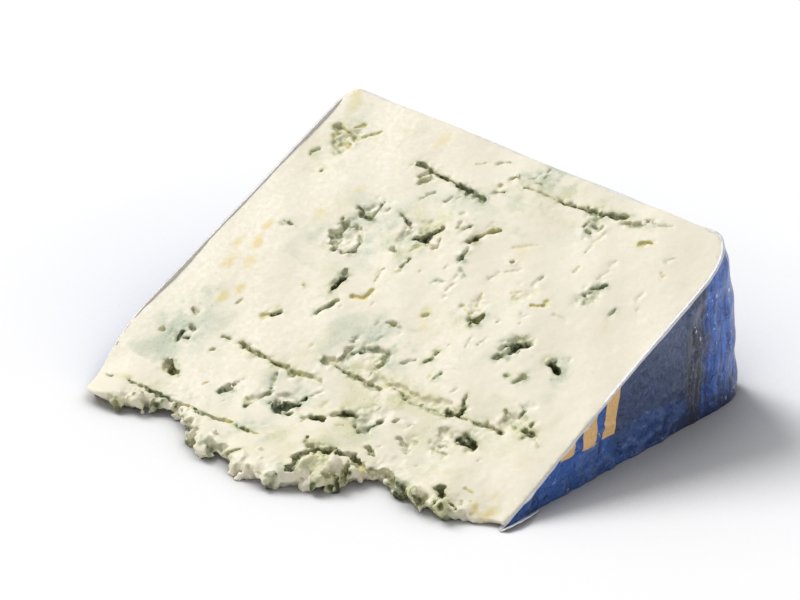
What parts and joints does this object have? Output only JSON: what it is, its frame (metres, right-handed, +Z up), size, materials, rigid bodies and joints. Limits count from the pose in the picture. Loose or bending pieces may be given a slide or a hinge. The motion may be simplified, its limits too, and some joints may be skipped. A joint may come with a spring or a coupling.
{
  "type": "blue cheese wedge",
  "caption": "Wedge of crumbly blue-veined cheese, cut from a drum-shaped wheel and lying on a cut face, with printed foil round its sides.",
  "frame": {"origin": "middle of the footprint, on the plane that the wedge lies on", "axes": "+Z up, +X along the wheel's own axis, +Y from the thin tip towards the rind"},
  "size_m": [0.104, 0.0982, 0.0421],
  "materials": {
    "cheese": "moist, crumbly paste with blue-green mould in its cavities",
    "foil": "printed foil, semi-gloss and crinkled"
  },
  "bodies": {
    "root": {"cheese": "cheese", "foil": "foil"}
  },
  "joints": []
}
